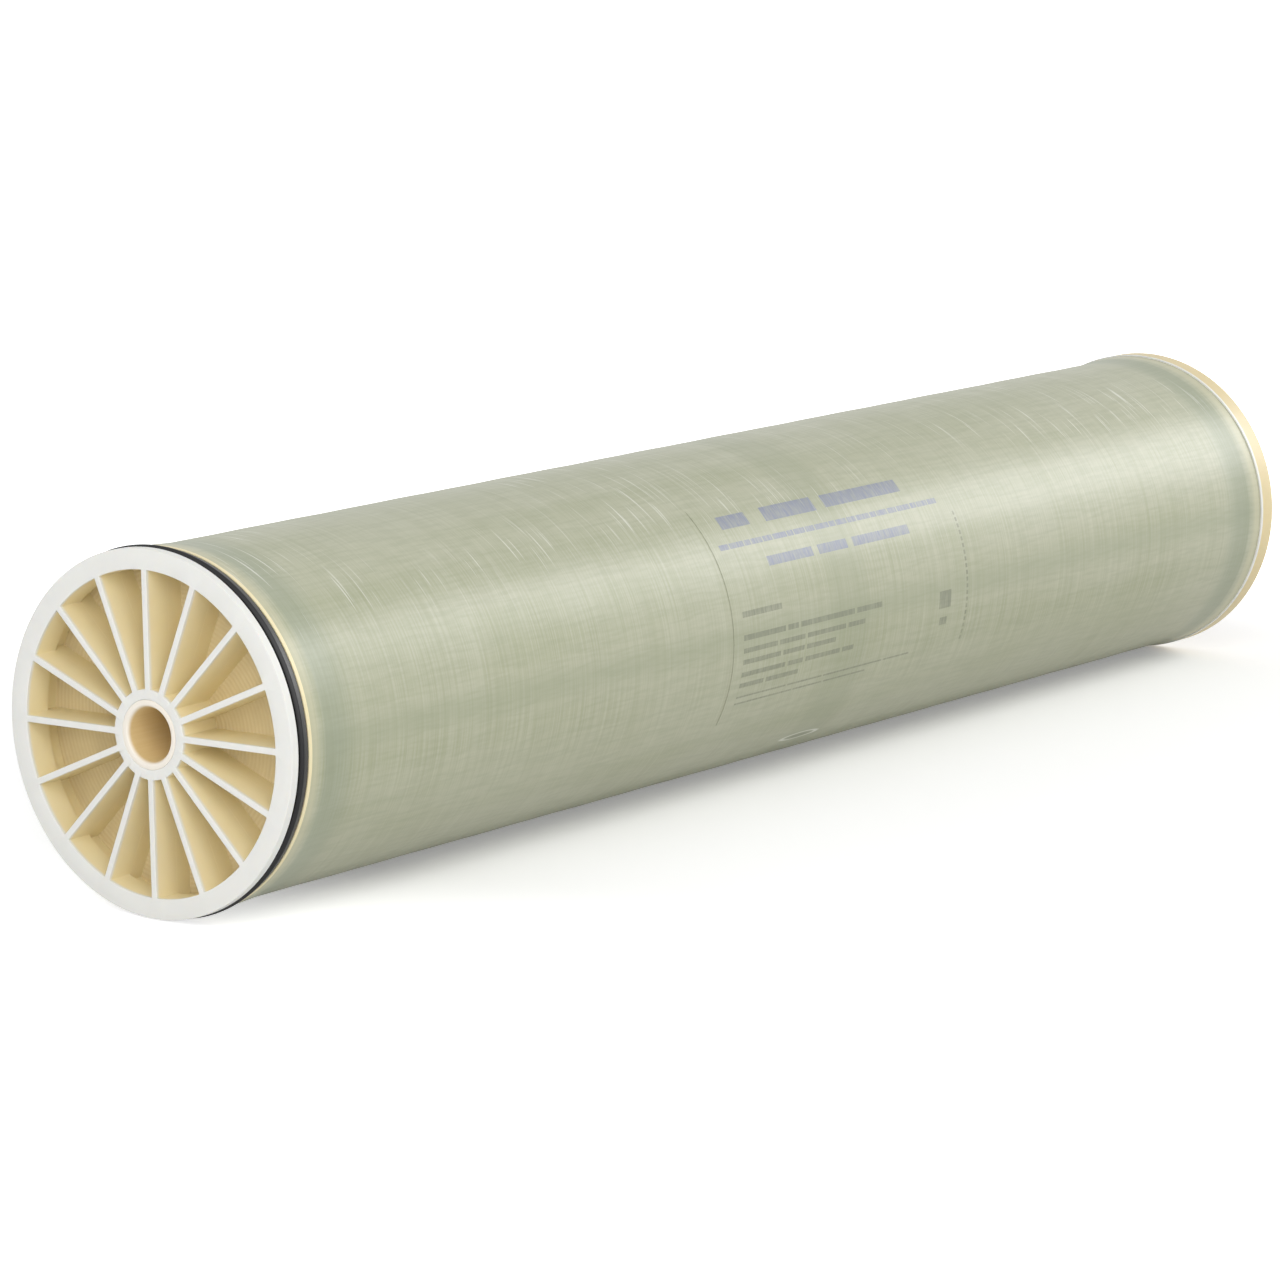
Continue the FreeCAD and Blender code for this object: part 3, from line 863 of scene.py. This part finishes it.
# %% Spin the tube and the roll
BORE = 14.3
MOUTH = 16
CORE = 13.7
bm = bmesh.new()
spin_ring(
    bm,
    [
        (TUBE, 0),
        (TUBE, length),
        (MOUTH, length),
        (BORE, length - 3),
        (BORE, length - 90),
        (CORE, length - 90),
        (CORE, 90),
        (BORE, 90),
        (BORE, 3),
        (MOUTH, 0),
    ],
    below_head,
    96,
)
round_edges(bm, 0.4, 2, lambda edge: abs(abs(edge.verts[0].co.z - MIDDLE) - length * MM / 2) < MM)
hand_over(bm, "permeate_tube_bored", [extruded_pvc], "permeate_tube")

bm = bmesh.new()
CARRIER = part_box("carrier_wrap")[1].x / MM
spin_ring(
    bm,
    [(CARRIER, WEB), (ROLL, WEB), (ROLL, length - WEB), (CARRIER, length - WEB)],
    below_head,
    128,
)
hand_over(bm, "leaf_roll", [trimmed_leaves], "membrane_roll")

for node, material in (("tape_wrap", rolled_tape), ("carrier_wrap", knitted_polyester)):
    cad[node].data.materials.clear()
    cad[node].data.materials.append(material)
print("tape and carrier keep their CAD shape")

# %% [markdown]
# ## The room
# The element lies on its side on a white floor. The model itself stands on its end, so the room
# is turned instead: one direction of the model is up. The floor shows its front to the lamps and
# the camera and lets light through from behind, so that the side that lies on it can be looked at.
#
# The white behind the element is seen and gives no light: floor and world glow only for rays from
# the eye, from gloss and through glass. Close to the element the floor glows little, so that its
# shadow stays. Under the element a full glow would shine up in the resin, so gloss gets a part.

# %% Floor and world
UP = Vector((math.cos(math.radians(77.6)), math.sin(math.radians(77.6)), 0))
ALONG = Vector((0, 0, 1))
FRONT = UP.cross(ALONG)
CENTRE = Vector((0, 0, MIDDLE))
RESTING = 101.6 * MM
ROOM_LIGHT = 0.55
WHITE = 1.0


def background_rays(tree, in_gloss):
    """Return how much of the white background a ray sees: all of it, or a part for gloss."""
    rays = add(tree, "ShaderNodeLightPath", {}, {})
    gloss = reckon(tree, "MULTIPLY", rays.outputs["Is Glossy Ray"], in_gloss)
    seen = reckon(tree, "MAXIMUM", rays.outputs["Is Camera Ray"], gloss)
    return reckon(tree, "MAXIMUM", seen, rays.outputs["Is Transmission Ray"])


bm = bmesh.new()
bmesh.ops.create_grid(bm, x_segments=1, y_segments=1, size=30)
turned = UP.to_track_quat("Z", "Y").to_matrix().to_4x4()
bmesh.ops.transform(bm, matrix=Matrix.Translation(CENTRE - UP * RESTING) @ turned, verts=bm.verts)
floor_mesh = bpy.data.meshes.new("floor")
bm.to_mesh(floor_mesh)
bm.free()
floor = bpy.data.objects.new("floor", floor_mesh)
bpy.context.scene.collection.objects.link(floor)

paper = bpy.data.materials.new("white_floor")
paper.use_nodes = True
tree = paper.node_tree
tree.nodes.clear()
matt = add(tree, "ShaderNodeBsdfDiffuse", {}, {"Color": colour("#EEEEEE")}).outputs[0]
spot = add(tree, "ShaderNodeTexCoord", {}, {}).outputs["Object"]
below = -UP * RESTING + ALONG * 0.38
fade = band(tree, measure(tree, "DISTANCE", spot, below), 0.45, 0.75, 0.25, WHITE)
glow = reckon(tree, "MULTIPLY", background_rays(tree, 0.3), fade)
lift = add(tree, "ShaderNodeEmission", {}, {"Strength": glow})
lit = add(tree, "ShaderNodeAddShader", {}, {0: matt, 1: lift.outputs[0]}).outputs[0]
clear = add(tree, "ShaderNodeBsdfTransparent", {}, {}).outputs[0]
behind = add(tree, "ShaderNodeNewGeometry", {}, {}).outputs["Backfacing"]
side = add(tree, "ShaderNodeMixShader", {}, {0: behind, 1: lit, 2: clear}).outputs[0]
add(tree, "ShaderNodeOutputMaterial", {}, {"Surface": side})
floor_mesh.materials.append(paper)

world = bpy.data.worlds.new("room")
bpy.context.scene.world = world
world.use_nodes = True
tree = world.node_tree
tree.nodes.clear()
glow = reckon(tree, "MULTIPLY", background_rays(tree, 1.0), WHITE - ROOM_LIGHT)
strength = reckon(tree, "ADD", glow, ROOM_LIGHT)
room = add(tree, "ShaderNodeBackground", {}, {"Color": (1, 1, 1, 1), "Strength": strength})
add(tree, "ShaderNodeOutputWorld", {}, {"Surface": room.outputs[0]})
print("floor lies", RESTING / MM, "mm below the axis")

# %% [markdown]
# Four soft boxes light the element. The front one is the main light on the shell and the cap. The
# narrow one hangs towards the far end, where the shell mirrors it as one broad streak, and the far
# one widens that streak. The end one fills the walls of the pockets from the other side.

# %% Lamps and camera
def hang_softbox(name, towards, distance, wide, high, watts):
    """Hang an area lamp in a direction from the middle of the element and aim it back."""
    lamp = bpy.data.lights.new(name, "AREA")
    lamp.shape = "RECTANGLE"
    lamp.size, lamp.size_y, lamp.energy = wide, high, watts
    box = bpy.data.objects.new(name, lamp)
    aim = towards.normalized()
    box.location = CENTRE + aim * distance
    box.rotation_mode = "QUATERNION"
    across = ALONG.cross(aim).normalized()
    box.rotation_quaternion = Matrix((across, aim.cross(across), aim)).transposed().to_quaternion()
    bpy.context.scene.collection.objects.link(box)


def direction(elevation, towards_head):
    """Direction from the element: up from the front, and leaning towards the feed end."""
    angle = math.radians(elevation)
    return FRONT * math.cos(angle) + UP * math.sin(angle) + ALONG * towards_head


hang_softbox("front_softbox", direction(38, 1.1), 2.6, 1.8, 1.8, 30)
hang_softbox("streak_softbox", direction(44, -1.3), 2.6, 0.8, 1.8, 22)
hang_softbox("far_softbox", direction(40, -2.4), 2.6, 1.4, 1.4, 7)
hang_softbox("end_softbox", direction(125, 1.8), 2.6, 1.4, 1.4, 4)

lens = bpy.data.cameras.new("camera")
lens.sensor_width = 36
lens.lens = 143.2
camera = bpy.data.objects.new("camera", lens)
camera.location = (1.8764, 0.1444, 2.983)
back = Vector((0.61525, 0.05151, 0.78665)).normalized()
right = UP.cross(back).normalized()
camera.rotation_mode = "QUATERNION"
camera.rotation_quaternion = Matrix((right, back.cross(right), back)).transposed().to_quaternion()
bpy.context.scene.collection.objects.link(camera)
bpy.context.scene.camera = camera
bpy.context.scene.view_settings.view_transform = "Standard"
print("camera", round((camera.location - CENTRE).length, 2), "m from the middle")
